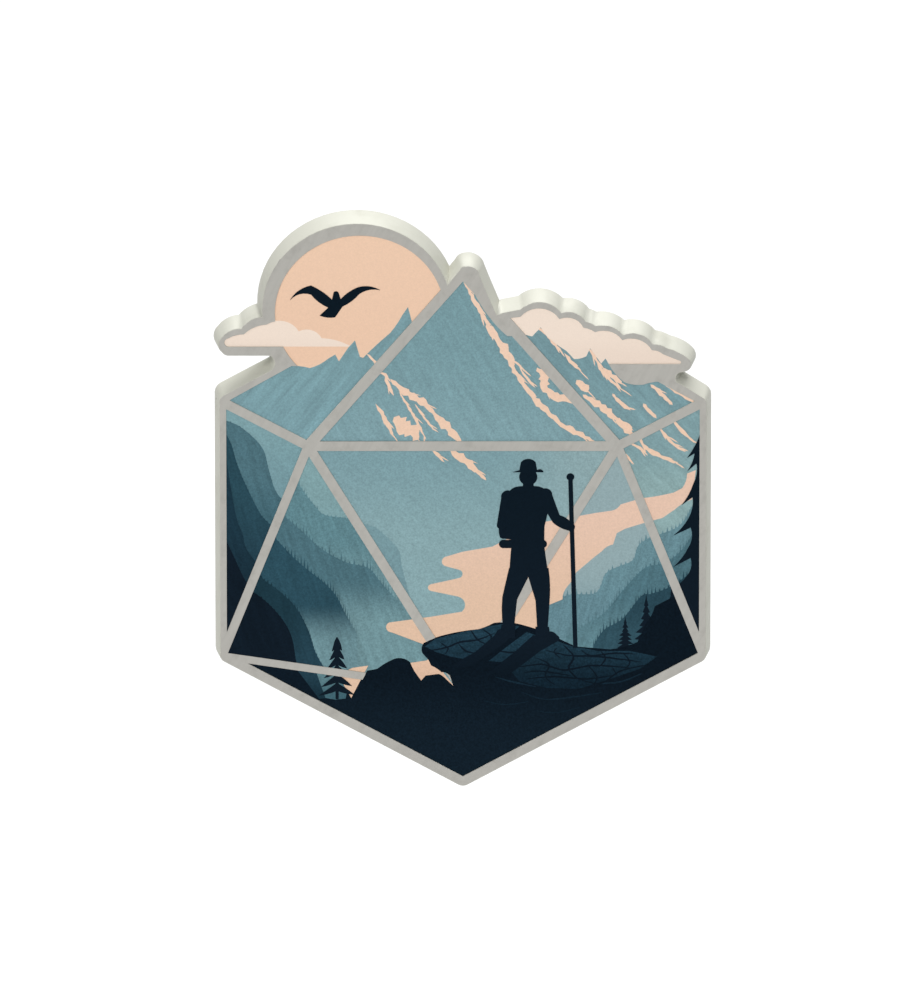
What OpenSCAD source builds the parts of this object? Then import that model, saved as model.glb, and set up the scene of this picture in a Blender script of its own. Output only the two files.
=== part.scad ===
// Enamel pin: a thick die-cast badge with filled colour cells, two posts and two butterfly clutches.
// It stands upright as it is worn, with its face toward -Y, +X to the right and +Z up.
// The origin is on the flat back face, at the centre of the ridged hexagon. Millimetres.

/* [Badge] */
// Width of the front face across its two upright sides
face_w = 39.5; // [32:0.5:48]
// Thickness of the casting from its back face to its rim
badge_t = 2.2; // [1.8:0.1:3]
// How much further out the wall stands at the back than at the front
draft = 0.4; // [0.2:0.05:0.4]
// Depth of the colour cells below the rim
cell_depth = 0.45; // [0.3:0.05:0.6]
// How far the enamel lies below the rim
enamel_drop = 0.07; // [0.02:0.01:0.12]
// How far the printed figures stand above the enamel
print_rise = 0.03; // [0.01:0.01:0.05]

/* [Ridges] */
// Distance from the centre to the outer corners of the ridges
outer_r = 22.65; // [22:0.05:23]
// Distance from the centre to the inner corners of the ridges
inner_r = 14.5; // [14:0.1:15]
// Width of the ridges that meet at the top corner, and of the level one
wide_ridge = 0.92; // [0.7:0.02:1.1]
// Width of the ridges in the middle of the face
mid_ridge = 0.82; // [0.6:0.02:1]
// Width of the ridges that run to the lower corners
slim_ridge = 0.74; // [0.5:0.02:0.9]

/* [Posts] */
// Distance between the two posts
post_spacing = 20; // [16:0.5:24]
// Height of the posts above the centre of the hexagon
post_up = 4; // [0:0.5:8]
// Diameter of the post
post_d = 1.2; // [1:0.05:1.4]
// Length of the post from the back face to its point
post_len = 8; // [7:0.1:10]
// Diameter of the head that is fixed into the casting
head_d = 4; // [3:0.1:5]
// Thickness of the head
head_t = 0.4; // [0.3:0.05:0.6]
// Diameter at the bottom of the locking grooves
groove_d = 0.86; // [0.7:0.02:0.9]
// Length of each locking groove
groove_w = 0.5; // [0.3:0.05:0.6]
// Distance from the start of one groove to the next
groove_pitch = 1; // [0.8:0.05:1.2]
// Number of grooves
groove_count = 3; // [1:1:4]

/* [Clutches] */
// Gap for the cloth between the back face and the clutch
cloth_gap = 2.2; // [2.15:0.05:3]
// Diameter of the clutch over its rolled edge
clutch_d = 11.4; // [10:0.2:12]
// Diameter of the hole for the post
clutch_bore = 1.5; // [1.4:0.05:1.7]
// Thickness of the clutch's sheet metal
clutch_sheet = 0.35; // [0.25:0.05:0.4]
// Outside height of the cap's flat top above the front of the disc
cap_h = 2.1; // [2:0.05:2.4]
// Thickness of the spring strip
spring_t = 0.3; // [0.2:0.05:0.35]
// Width of the spring strip where it passes through the cap
spring_w = 3.4; // [2.4:0.2:4]
// Width of the finger wing
wing_w = 6.4; // [5:0.2:7]
// Distance from the post to the bend that each wing hinges on
bend_x = 2.5; // [2.3:0.1:2.8]
// Height of the jaws and their bends above the front of the disc
jaw_h = 1.35; // [1.2:0.05:1.4]
// Radius of the rolled bend
bend_r = 0.28; // [0.2:0.02:0.3]

/* [Hidden] */

$fn = 64;
eps = 0.01;
// Every outline below is drawn for a face this wide, and scaled from it
drawn_w = 39.5;
k = face_w / drawn_w;
// The most that an arc's straight pieces leave its true curve
curve_tol = 0.01;
// Strips and gaps in the face thinner than twice this are left out
sliver = 0.02;
enamel_top = badge_t - enamel_drop;
cell_floor = badge_t - cell_depth;

// ---- Outlines: lists of [x, z, bulge] taken anticlockwise, where bulge is how far the side
// ---- to the next point bows outward, and is left out on a straight side

function bow(p) = len(p) > 2 ? p[2] : 0;
function flat(p) = [p[0], p[1]];
function next(l, i) = l[(i + 1) % len(l)];
function heading(a, b) = atan2(b[1] - a[1], b[0] - a[0]);
function outward(h) = [sin(h), -cos(h)];
function half_turn(a, b, s) = 2 * atan(2 * s / norm(flat(b) - flat(a)));
function start_heading(a, b) = heading(a, b) - half_turn(a, b, bow(a));
function end_heading(a, b) = heading(a, b) + half_turn(a, b, bow(a));
function arc_r(a, b, s) = (pow(norm(flat(b) - flat(a)), 2) / 4 + s * s) / (2 * abs(s));

// How many straight pieces each side of an outline needs
function pieces(l) = [for (i = [0:len(l) - 1])
    let (a = l[i], b = next(l, i), s = bow(a))
    s == 0 ? 1
        : max(2, ceil(abs(half_turn(a, b, s)) / acos(max(0, 1 - curve_tol / arc_r(a, b, s)))))];

// Points along one side, from its start to just before its end
function side(a, b, n) = bow(a) == 0 || n == 1 ? [flat(a)]
    : let (s = bow(a), r = arc_r(a, b, s) * sign(s), turn = half_turn(a, b, s),
        mid = (flat(a) + flat(b)) / 2, along = [cos(heading(a, b)), sin(heading(a, b))])
    [for (i = [0:n - 1])
        let (t = turn * (2 * i / n - 1))
        mid + along * r * sin(t) + outward(heading(a, b)) * (s - r + r * cos(t))];

function trace(l, counts) = [for (i = [0:len(l) - 1]) each side(l[i], next(l, i), counts[i])];

// The same outline moved outward by d, with its bows kept round the same centres
function grow(l, d) =
    let (n = len(l),
        moved = [for (i = [0:n - 1])
            let (before = outward(end_heading(l[(i + n - 1) % n], l[i])),
                after = outward(start_heading(l[i], next(l, i))))
            flat(l[i]) + d * (before + after) / (1 + before * after)])
    [for (i = [0:n - 1])
        let (a = moved[i], b = next(moved, i), old = outward(heading(l[i], next(l, i))),
            top = (flat(l[i]) + flat(next(l, i))) / 2 + old * (bow(l[i]) + d))
        bow(l[i]) == 0 ? a : [a[0], a[1], (top - (a + b) / 2) * outward(heading(a, b))]];

function scaled(l) = [for (p = l) k * p];

module shape(l) {
    s = scaled(l);
    polygon(trace(s, pieces(s)));
}

// Solid between two depths measured forward from the back face
module layer(from, to) {
    rotate([90, 0, 0])
        translate([0, 0, from])
            linear_extrude(to - from)
                children();
}

// A cell's edge without the slivers that its neighbours leave on it
module merged() {
    offset(delta = sliver)
        offset(delta = -sliver)
            children();
}

// The edge round several drawings, with the hair gaps between them closed first
module pooled() {
    offset(delta = sliver)
        offset(delta = -2 * sliver)
            offset(delta = sliver)
                children();
}

// ---- Casting

// Front edge of the rim: hexagon, right cloud, peak, sun ring and left cloud
rim = [[-0.35, -22.85, 0.09], [0.35, -22.85], [19.45, -11.82, 0.08], [19.75, -11.3], [19.75, 11.15, 0.07],
    [19.5, 11.63], [17.65, 12.85, -0.38], [17.5, 13.85], [18.1, 14, 0.3], [18.3, 15.05, 0.04],
    [17.6, 15.6, 0.04], [16.6, 15.98, 0.1], [15.35, 16.4, 0.5], [12.95, 17.2, 0.36], [10.75, 18, 0.05],
    [9.95, 18.35, 0.42], [7.95, 19.15, 0.8], [4.65, 19.45], [3.3, 19.17], [2.72, 18.95], [1.8, 21.3],
    [1.35, 22.5, 0.12], [0.8, 23.2, 0.06], [0.2, 23.25, 0.1], [-0.25, 22.95], [-1.25, 21.6, 6.8],
    [-16.25, 18.8, 0.25], [-17.95, 17.75, 0.24], [-19.55, 16.95, 0.3], [-19.5, 15.65, 0.1],
    [-18.9, 15.37], [-15.6, 15.37, -0.35], [-15.55, 14.07], [-19.45, 11.83, 0.07], [-19.75, 11.35],
    [-19.75, -11.3, 0.08], [-19.45, -11.82]];

// Wall rings as [depth, how far outside the rim's front edge]: rounded back edge, draft, eased front edge
wall = [[0, draft - 0.24], [0.07, draft - 0.08], [0.28, draft], [badge_t - 0.07, 0.03], [badge_t, -0.03]];
// Where the wall band meets the flat core behind the cells
core_inset = -0.2;

module wall_band() {
    s = scaled(rim);
    counts = pieces(s);
    stations = concat([[0, core_inset]], wall, [[badge_t, core_inset]]);
    rings = [for (w = stations) [for (p = trace(grow(s, w[1]), counts)) [p[0], -w[0], p[1]]]];
    n = len(rings[0]);
    m = len(rings);
    polyhedron([for (r = rings) each r],
        [for (j = [0:m - 1]) for (i = [0:n - 1])
            let (a = j * n + i, b = j * n + (i + 1) % n,
                c = ((j + 1) % m) * n + (i + 1) % n, d = ((j + 1) % m) * n + i)
            each [[a, c, b], [a, d, c]]]);
}

module core() {
    s = scaled(rim);
    layer(0, badge_t)
        polygon(trace(grow(s, core_inset), pieces(s)));
}

module post_seat(x) {
    translate([x, eps, post_up])
        rotate([90, 0, 0])
            cylinder(d = head_d, h = head_t + eps);
}

module base() {
    color([0.8, 0.79, 0.75])
        difference() {
            union() {
                wall_band();
                core();
            }
            layer(cell_floor, badge_t + 1)
                all_cells();
            post_seat(-post_spacing / 2);
            post_seat(post_spacing / 2);
        }
}

// ---- Ridges of the twenty-sided die, as strips between its corners

// The inner triangle sits this much above the centre of the hexagon
inner_up = 0.1;
function corner(a) = [outer_r * cos(a), outer_r * sin(a)];
function inner(a) = [inner_r * cos(a), inner_r * sin(a) + inner_up];
TOP = corner(90);
HIGH_LEFT = corner(150);
LOW_LEFT = corner(210);
BOTTOM = corner(270);
LOW_RIGHT = corner(330);
HIGH_RIGHT = corner(30);
IN_LEFT = inner(150);
IN_RIGHT = inner(30);
IN_BOTTOM = inner(270);

module strip(a, b, w) {
    side_step = outward(heading(a, b)) * w / 2;
    polygon(k * [a + side_step, b + side_step, b - side_step, a - side_step]);
}

module ridges() {
    strip(IN_LEFT, TOP, wide_ridge);
    strip(IN_RIGHT, TOP, wide_ridge);
    strip(IN_LEFT, IN_RIGHT, wide_ridge - 0.06);
    strip(IN_LEFT, HIGH_LEFT, mid_ridge);
    strip(IN_RIGHT, HIGH_RIGHT, mid_ridge);
    strip(IN_LEFT, IN_BOTTOM, mid_ridge);
    strip(IN_RIGHT, IN_BOTTOM, mid_ridge);
    strip(IN_LEFT, LOW_LEFT, slim_ridge);
    strip(IN_RIGHT, LOW_RIGHT, slim_ridge);
    strip(LOW_LEFT, IN_BOTTOM, slim_ridge - 0.07);
}

// ---- Drawings of the colour cells

// The part of the hexagon that the border leaves for the cells
module field() {
    shape([[0, -22.1], [19.2, -11.02], [19.2, 11.1], [0, 22.2], [-19.2, 11.1], [-19.2, -11.02]]);
}

module facet(a, b, c) {
    intersection() {
        field();
        polygon(k * [a, b, c]);
    }
}

module sun_disc() {
    translate(k * [-8.36, 19.1])
        circle(r = 6.87 * k, $fn = 96);
}

module left_cloud_drawing() {
    shape([[-18.95, 16.15], [-9, 16.15], [-9.4, 16.35, 0.12], [-11.45, 16.9, 0.42], [-13.3, 17.5, 0.6],
        [-15.9, 18.12, 0.2], [-17.75, 17.25, 0.1], [-19, 16.9, 0.36]]);
}

module right_cloud_drawing() {
    shape([[4.9, 17.3], [9, 14.62], [17.55, 14.62, 0.1], [17.6, 14.9], [16.2, 15.5, 0.1],
        [15.3, 15.85, 0.5], [12.9, 16.75, 0.42], [10.7, 17.45, 0.06], [9.75, 17.85, 0.45],
        [7.8, 18.6, 0.85], [4.65, 18.8], [3.8, 18.7]]);
}

module left_ridge_drawing() {
    shape([[-19.2, 11.1], IN_LEFT, [-3.3, 18.65], [-4.1, 18.2], [-4.45, 19.65], [-4.9, 18.95, -0.05],
        [-5.9, 17.35], [-6.6, 16.7], [-7.5, 15.8], [-8.1, 15.15], [-8.35, 15.25], [-8.75, 16.7],
        [-9.3, 16.05], [-10.05, 14.85], [-10.35, 15.45], [-10.9, 15.1, -0.1], [-12.4, 14.25, 0.06],
        [-13.9, 14.45], [-14.9, 13.85], [-18.8, 11.5]]);
}

module peak_drawing() {
    shape([IN_LEFT, IN_RIGHT, [4.67, 17.1], [3.6, 17.1, -0.05], [2.4, 18.4], [1.7, 19.4], [1.1, 20.5],
        [0.6, 21.5], [0.05, 22.05]]);
}

module right_ridge_drawing() {
    intersection() {
        field();
        shape([IN_RIGHT, HIGH_RIGHT, [18.6, 11.7], [16.1, 13.1, 0.06], [14.6, 12.8, -0.1],
            [13.1, 13, -0.05], [12.1, 14.1], [11.55, 15.1], [11.2, 14.65], [10.3, 16],
            [10, 15.3, -0.08], [9, 15.05], [8.4, 15.75], [7.5, 16.4], [6.75, 17.1], [6.3, 17.85],
            [5.6, 17.05], [4.67, 17.3]]);
    }
}

// Three tongues of water on the left, then the bend behind the figure and the reach on the right
module river_drawing() {
    shape([[-3, -10.4], [6.5, -10], [7, -6.8], [8.1, -6.3, -0.1], [8.45, -5.2], [8.9, -4.6], [9.2, -3.9],
        [10.6, -2.6], [11.3, -2, -0.1], [12.2, -1.4], [12.5, -0.4], [13.2, 0], [15, 0.6], [16.2, 0.95],
        [17.2, 1.7, -0.1], [18.6, 2.6], [18.9, 5.2], [18.2, 4.9, -0.1], [17.8, 3.6], [17.1, 3.2, -0.05],
        [14.5, 2.7], [12.8, 2.15, -0.1], [12.1, 1.6], [10.8, 1.4], [8.3, 0.9], [6, 0.5], [2.4, -1.6],
        [0, -2.05], [-1.4, -2.5, 0.32], [-1.4, -3.35], [-0.35, -3.65, -0.3], [-0.3, -4.4],
        [-2.6, -4.95, 0.25], [-2.6, -5.55], [-0.4, -6.05, -0.42], [-0.1, -7.4], [-2.6, -7.85],
        [-6, -8.35, 0.36], [-5.8, -9.25]]);
    shape([[-10.2, -13], [-9.1, -15.1], [-7.7, -12.2], [-9, -12.4]]);
}

// Reaches under the rock that stands in front of it
module ledge_gap_drawing() {
    shape([[-4.6, -12.3], [-3.4, -14.1], [-0.6, -14.2], [-2.2, -12], [-2.6, -11.5], [-3, -11.75],
        [-4.25, -11.95]]);
}

module rock_drawing() {
    difference() {
        intersection() {
            field();
            shape([[-11.2, -15.35], [-12, -25], [22, -25], [22, -6], [17.2, -6], [15.6, -6.9, -0.1],
                [14.9, -8.4], [14.2, -10.1, -0.1], [12, -10.75], [9.2, -10.5], [8, -9.9],
                [7.1, -9.4, 0.05], [4.6, -8.5, 0.12], [2.5, -8.4, -0.04], [1.3, -8.95, 0.08],
                [-1.8, -9.55, 0.05], [-3.2, -10.2, 0.12],
                [-3.3, -11.1], [-2.8, -11.7], [-2.6, -12.2, -0.05], [-1.75, -12.8, -0.1], [-1.05, -13.1],
                [-0.8, -14], [-1.3, -13.5, 0.05], [-1.95, -12.95], [-3.05, -13.1], [-3.4, -13.55],
                [-3.7, -13.1, -0.05], [-4.3, -11.9, 0.2], [-5.6, -11.6, 0.06], [-7, -12.5],
                [-7.8, -12.65],
                [-8.6, -14.4], [-9.1, -15.1]]);
        }
        strip(IN_RIGHT, LOW_RIGHT, slim_ridge);
        polygon(k * [IN_RIGHT, LOW_RIGHT, HIGH_RIGHT]);
    }
}

// A walker seen from behind, with a pack and a staff
module hiker_drawing() {
    // Head in a brimmed hat, and neck
    translate(k * [5.3, 4.6])
        circle(r = 0.74 * k, $fn = 32);
    shape([[4.05, 5.02], [6.55, 5.02, 0.16], [6.02, 5.2], [5.9, 5.9, 0.3], [4.7, 5.9], [4.58, 5.2]]);
    shape([[4.82, 3.4], [5.78, 3.4], [5.68, 4.4], [4.92, 4.4]]);
    // Coat, drawn in at the waist and open at the hem
    shape([[3.75, -4.05, 0.05], [5.35, -4.3], [6.95, -4.15], [6.6, -1.5], [6.62, 0.2],
        [7.1, 2.4, 0.32],
        [6.15, 3.75, 0.05], [4.5, 3.75, 0.32], [3.6, 2.6], [3.95, -1.2]]);
    // Pack with a side pocket, and a rolled mat strapped under it
    shape([[3.45, -0.9, 0.15], [6.3, -0.9, 0.15], [6.5, 2.2, 0.3], [5.85, 3.35, 0.15], [4, 3.35, 0.3],
        [3.3, 2.2, 0.2]]);
    shape([[3, -0.75, 0.15], [3.6, -0.75], [3.55, 0.85, 0.25], [3.1, 0.85, 0.15]]);
    shape([[3.4, -1.72], [6.35, -1.72, 0.48], [6.35, -1], [3.4, -1, 0.48]]);
    // Left arm along the strap, then the right arm out to the staff
    shape([[2.75, 0.3, 0.3], [3.3, 0.3], [4.05, 2.6], [3.75, 3.4, 0.25], [3.1, 2.7]]);
    shape([[6.45, 2.1], [7.3, 0.55, 0.1], [8.55, -0.15, 0.35], [8.95, 0.45, 0.1], [7.85, 1.2],
        [7.25, 3, 0.3], [6.4, 3.5]]);
    // Legs and boots
    shape([[3.28, -8.9], [4.15, -8.9], [4.4, -6.3], [5.35, -4.2], [5.3, -3.5], [3.75, -3.5],
        [3.2, -6.1, 0.08]]);
    shape([[6.05, -9.1], [6.88, -9.1], [7.05, -6.4, 0.08], [6.95, -3.5], [5.2, -3.5],
        [5.3, -4.2], [5.9, -6.4]]);
    shape([[2.65, -9.75], [4.22, -9.75], [4.28, -8.55], [3.15, -8.55], [3.1, -8.95, 0.1],
        [2.7, -9.3, 0.1]]);
    shape([[5.9, -10], [7.75, -10, 0.15], [7.65, -9.5, 0.1], [7.05, -9.15], [7, -8.75], [5.9, -8.75]]);
    // Staff, planted on the rock
    strip([9.15, -10.6], [8.72, 4.6], 0.36);
    translate(k * [8.72, 4.6])
        circle(r = 0.32 * k, $fn = 24);
}

// A soaring bird with long spread wings
module bird_drawing() {
    shape([[-14, 20.25, -0.3], [-12.3, 20.75, 0.12], [-10.9, 19.6], [-11.6, 18.9, 0.1], [-10.35, 18.75],
        [-9.75, 19.7, 0.1], [-8.4, 20.8, -0.2], [-6.7, 21.15, 0.2], [-8.5, 21.4, 0.1], [-9.9, 20.35],
        [-10.05, 20.85, 0.22], [-10.5, 20.8], [-10.6, 20.3, 0.1], [-12.3, 21.55, 0.25]]);
}

// A fir with drooping boughs, shorter toward the tip, on a thin trunk
module fir(foot, h, w, tiers) {
    step = 0.86 * h / tiers;
    strip(foot, foot + [0, 0.9 * h], h * 0.045);
    for (i = [0:tiers - 1]) {
        low = foot + [0, 0.12 * h + i * step];
        reach = w / 2 * (1 - 0.85 * i / tiers);
        shape([[low.x - reach, low.y - 0.45 * step, 0.05], [low.x, low.y + 0.1 * step, 0.05],
            [low.x + 0.94 * reach, low.y - 0.35 * step, 0.05], [low.x + 0.06 * w, low.y + 0.85 * step],
            [low.x, low.y + 1.25 * step], [low.x - 0.06 * w, low.y + 0.85 * step]]);
    }
}

module small_fir_drawing() {
    intersection() {
        field();
        fir([-10.25, -15.2], 5.5, 3, 6);
    }
}

// Boughs of a near fir that reach in from the right edge
module fir_branches_drawing() {
    intersection() {
        field();
        difference() {
            shape([[20, -14], [20, 10], [19.3, 8.6, -0.1], [18.2, 6.3], [18.8, 6.7, -0.1], [18.2, 5.1],
                [18.95, 5.8, -0.15], [18.7, 4, -0.1], [17.75, 2.1], [18.65, 2.8, -0.15],
                [18.3, 0.9, -0.1],
                [17.1, -0.6], [18.5, 0.1, -0.2], [18.3, -1.7, -0.1], [17.1, -3.4], [18.5, -2.6, -0.2],
                [18.2, -4.2, -0.1], [17, -5.3], [16, -8]]);
            strip(IN_RIGHT, LOW_RIGHT, slim_ridge);
            polygon(k * [IN_RIGHT, LOW_RIGHT, IN_BOTTOM]);
        }
    }
}

// ---- What each cell keeps once the drawings in front of it are taken out

module trees() {
    difference() {
        union() {
            small_fir_drawing();
            fir_branches_drawing();
        }
        ridges();
    }
}

// What lies in front of the ridges, so that they stop short of it
module foreground() {
    rock_drawing();
    ledge_gap_drawing();
    hiker_drawing();
}

// A cell in the landscape, bounded by the ridges, the river and the foreground
module land_cell() {
    merged()
        difference() {
            children();
            ridges();
            river_drawing();
            foreground();
            trees();
        }
}

// A cell in the sky, bounded by the ridges and by the drawings after the first
module sky_cell() {
    merged()
        difference() {
            children(0);
            ridges();
            bird_drawing();
            for (i = [1:1:$children - 1])
                children(i);
        }
}

module all_cells() {
    pooled() {
        difference() {
            union() {
                sun_disc();
                left_cloud_drawing();
                right_cloud_drawing();
                left_ridge_drawing();
                peak_drawing();
                right_ridge_drawing();
                facet(HIGH_LEFT, LOW_LEFT, IN_LEFT);
                facet(LOW_LEFT, IN_BOTTOM, IN_LEFT);
                facet(IN_LEFT, IN_BOTTOM, IN_RIGHT);
                facet(IN_BOTTOM, LOW_RIGHT, IN_RIGHT);
                facet(LOW_RIGHT, HIGH_RIGHT, IN_RIGHT);
                facet(LOW_LEFT, BOTTOM, IN_BOTTOM);
            }
            ridges();
        }
        foreground();
    }
}

module enamel(rgb) {
    color(rgb)
        layer(cell_floor, enamel_top)
            children();
}

module print(rgb) {
    color(rgb)
        layer(cell_floor, enamel_top + print_rise)
            merged()
                children();
}

PEACH = [0.93, 0.79, 0.68];
CLOUD = [0.94, 0.87, 0.82];
TEAL = [0.44, 0.61, 0.65];
MIST = [0.51, 0.66, 0.69];
SLATE = [0.29, 0.44, 0.48];
DEEP = [0.15, 0.26, 0.33];
NAVY = [0.06, 0.11, 0.15];
NICKEL = [0.78, 0.77, 0.73];
BRASS = [0.8, 0.68, 0.42];

module sun() {
    enamel(PEACH)
        sky_cell() {
            sun_disc();
            left_cloud_drawing();
            left_ridge_drawing();
            polygon(k * [IN_LEFT, IN_RIGHT, TOP]);
        }
}

module left_cloud() {
    enamel(CLOUD)
        sky_cell() {
            left_cloud_drawing();
            left_ridge_drawing();
        }
}

module right_cloud() {
    enamel(CLOUD)
        sky_cell() {
            right_cloud_drawing();
            right_ridge_drawing();
            peak_drawing();
        }
}

module left_ridge_cell() {
    enamel(TEAL)
        sky_cell() {
            left_ridge_drawing();
        }
}

module peak_cell() {
    enamel(TEAL)
        sky_cell() {
            peak_drawing();
        }
}

module right_ridge_cell() {
    enamel(TEAL)
        sky_cell() {
            right_ridge_drawing();
        }
}

module left_slope_cell() {
    enamel(DEEP)
        land_cell()
            facet(HIGH_LEFT, LOW_LEFT, IN_LEFT);
}

module left_valley_cell() {
    enamel(SLATE)
        land_cell()
            facet(LOW_LEFT, IN_BOTTOM, IN_LEFT);
}

module centre_valley_cell() {
    enamel(MIST)
        land_cell()
            facet(IN_LEFT, IN_BOTTOM, IN_RIGHT);
}

module right_valley_cell() {
    enamel(SLATE)
        land_cell()
            facet(IN_BOTTOM, LOW_RIGHT, IN_RIGHT);
}

module right_slope_cell() {
    enamel(TEAL)
        land_cell()
            facet(LOW_RIGHT, HIGH_RIGHT, IN_RIGHT);
}

module lower_left_cell() {
    enamel(NAVY)
        land_cell()
            facet(LOW_LEFT, BOTTOM, IN_BOTTOM);
}

module river_cells() {
    enamel(PEACH)
        merged()
            difference() {
                intersection() {
                    field();
                    river_drawing();
                }
                ridges();
                foreground();
                trees();
            }
}

module ledge_gap_cells() {
    enamel(PEACH)
        merged()
            difference() {
                ledge_gap_drawing();
                rock_drawing();
            }
}

module rock_ledge() {
    enamel(NAVY)
        merged()
            difference() {
                rock_drawing();
                hiker_drawing();
            }
}

module hiker() {
    print(NAVY)
        hiker_drawing();
}

module bird() {
    print(NAVY)
        bird_drawing();
}

module small_fir() {
    print(NAVY)
        difference() {
            small_fir_drawing();
            ridges();
            foreground();
        }
}

module fir_branches() {
    print(NAVY)
        difference() {
            fir_branches_drawing();
            ridges();
            foreground();
        }
}

// ---- Posts: a head seated in the back, a shaft with locking grooves and a point

module post(x) {
    first_groove = cloth_gap + 0.15;
    point = 1.1;
    tip_r = 0.12;
    color(NICKEL)
        translate([x, 0, post_up])
            rotate([-90, 0, 0])
                difference() {
                    union() {
                        translate([0, 0, -head_t])
                            cylinder(d = head_d, h = head_t);
                        cylinder(d = post_d, h = post_len - point);
                        translate([0, 0, post_len - point])
                            cylinder(r1 = post_d / 2, r2 = tip_r, h = point);
                    }
                    for (i = [0:groove_count - 1])
                        translate([0, 0, first_groove + i * groove_pitch])
                            difference() {
                                cylinder(d = post_d + 1, h = groove_w);
                                translate([0, 0, -eps])
                                    cylinder(d = groove_d, h = groove_w + 2 * eps);
                            }
                }
}

module left_post() {
    post(-post_spacing / 2);
}

module right_post() {
    post(post_spacing / 2);
}

// ---- Butterfly clutches: a disc, a cap fixed on it, and two spring wings hinged between them

// Places a clutch part round a post, with its own +Z away from the badge
module on_post(x) {
    translate([x, cloth_gap, post_up])
        rotate([-90, 0, 0])
            children();
}

module clutch_disc(x) {
    curl_r = clutch_sheet * 0.8;
    rim_r = clutch_d / 2 - curl_r;
    color(BRASS)
        on_post(x)
            rotate_extrude()
                union() {
                    translate([clutch_bore / 2, 0])
                        square([rim_r - clutch_bore / 2, clutch_sheet]);
                    translate([rim_r, curl_r])
                        circle(r = curl_r);
                }
}

cap_r = clutch_d / 2 - 1.25;
slot_half = spring_w / 2 + 0.25;

module clutch_cap(x) {
    nub_r = 1.45;
    nub_h = 0.7;
    color(BRASS)
        on_post(x)
            difference() {
                rotate_extrude()
                    polygon([[clutch_bore / 2, cap_h - clutch_sheet],
                        [cap_r - 0.55, cap_h - clutch_sheet],
                        [cap_r - clutch_sheet, cap_h - clutch_sheet - 0.35],
                        [cap_r - clutch_sheet, clutch_sheet], [cap_r, clutch_sheet],
                        [cap_r, cap_h - 0.35], [cap_r - 0.35, cap_h], [nub_r, cap_h],
                        [nub_r, cap_h + nub_h - 0.2], [nub_r - 0.2, cap_h + nub_h],
                        [clutch_bore / 2, cap_h + nub_h]]);
                for (side = [-1, 1])
                    translate([side * (bend_x + 0.15), 0, cap_h])
                        cube([1.5, slot_half * 2, 2 * clutch_sheet + 0.9], center = true);
            }
}

// Outline of a bent strip of thickness t along the points p
function strip_normals(p) = [for (i = [0:len(p) - 1])
    let (a = i == 0 ? p[0] : p[i - 1], b = p[i], c = i == len(p) - 1 ? p[i] : p[i + 1],
        u = i == 0 ? outward(heading(b, c)) : outward(heading(a, b)),
        v = i == len(p) - 1 ? u : outward(heading(b, c)))
    (u + v) / (1 + u * v)];
function ribbon(p, t) =
    let (n = strip_normals(p))
    concat([for (i = [0:len(p) - 1]) p[i] + n[i] * t / 2],
        [for (i = [len(p) - 1:-1:0]) p[i] - n[i] * t / 2]);

// Plan of a wing: a narrow strip through the cap, then a finger tab with rounded corners
module wing_plan() {
    tab_start = bend_x + 0.45;
    tab_end = bend_x + 4;
    corner_cut = 1.6;
    translate([0, -spring_w / 2])
        square([tab_start + 0.4, spring_w]);
    polygon([[tab_start, -spring_w / 2], [tab_start + 0.9, -wing_w / 2],
        [tab_end - corner_cut, -wing_w / 2], [tab_end, corner_cut - wing_w / 2],
        [tab_end, wing_w / 2 - corner_cut],
        [tab_end - corner_cut, wing_w / 2], [tab_start + 0.9, wing_w / 2], [tab_start, spring_w / 2]]);
}

// One wing: a jaw that reaches to the post, a rolled bend in the cap's slot, and a flared finger tab
module spring_wing(x, side) {
    jaw_tip = 0.12;
    jaw_clear = 0.1;
    path = [[jaw_tip, jaw_h], [bend_x - 0.25, jaw_h], [bend_x, jaw_h + 0.12],
    [bend_x + 0.15, jaw_h + 0.4],
        [bend_x + 0.4, cap_h + 0.35], [bend_x + 1.1, cap_h + 1.25], [bend_x + 2.6, cap_h + 2.4],
        [bend_x + 3.3, cap_h + 2.75], [bend_x + 3.75, cap_h + 2.7]];
    color(BRASS)
        on_post(x)
            mirror([side < 0 ? 1 : 0, 0, 0])
                difference() {
                    union() {
                        intersection() {
                            rotate([90, 0, 0])
                                translate([0, 0, -wing_w / 2])
                                    linear_extrude(wing_w)
                                        polygon(ribbon(path, spring_t));
                            linear_extrude(2 * cap_h + spring_w)
                                wing_plan();
                        }
                        translate([bend_x, spring_w / 2, jaw_h])
                            rotate([90, 0, 0])
                                cylinder(r = bend_r, h = spring_w);
                    }
                    translate([0, 0, -eps])
                        cylinder(r = post_d / 2 + jaw_clear, h = cap_h + 1);
                }
}

module left_clutch_disc() {
    clutch_disc(-post_spacing / 2);
}

module left_clutch_cap() {
    clutch_cap(-post_spacing / 2);
}

module left_clutch_outer_wing() {
    spring_wing(-post_spacing / 2, -1);
}

module left_clutch_inner_wing() {
    spring_wing(-post_spacing / 2, 1);
}

module right_clutch_disc() {
    clutch_disc(post_spacing / 2);
}

module right_clutch_cap() {
    clutch_cap(post_spacing / 2);
}

module right_clutch_outer_wing() {
    spring_wing(post_spacing / 2, 1);
}

module right_clutch_inner_wing() {
    spring_wing(post_spacing / 2, -1);
}

base();
sun();
left_cloud();
right_cloud();
left_ridge_cell();
peak_cell();
right_ridge_cell();
left_slope_cell();
left_valley_cell();
centre_valley_cell();
river_cells();
right_valley_cell();
right_slope_cell();
lower_left_cell();
ledge_gap_cells();
rock_ledge();
hiker();
bird();
small_fir();
fir_branches();
left_post();
right_post();
left_clutch_disc();
left_clutch_cap();
left_clutch_outer_wing();
left_clutch_inner_wing();
right_clutch_disc();
right_clutch_cap();
right_clutch_outer_wing();
right_clutch_inner_wing();
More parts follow.
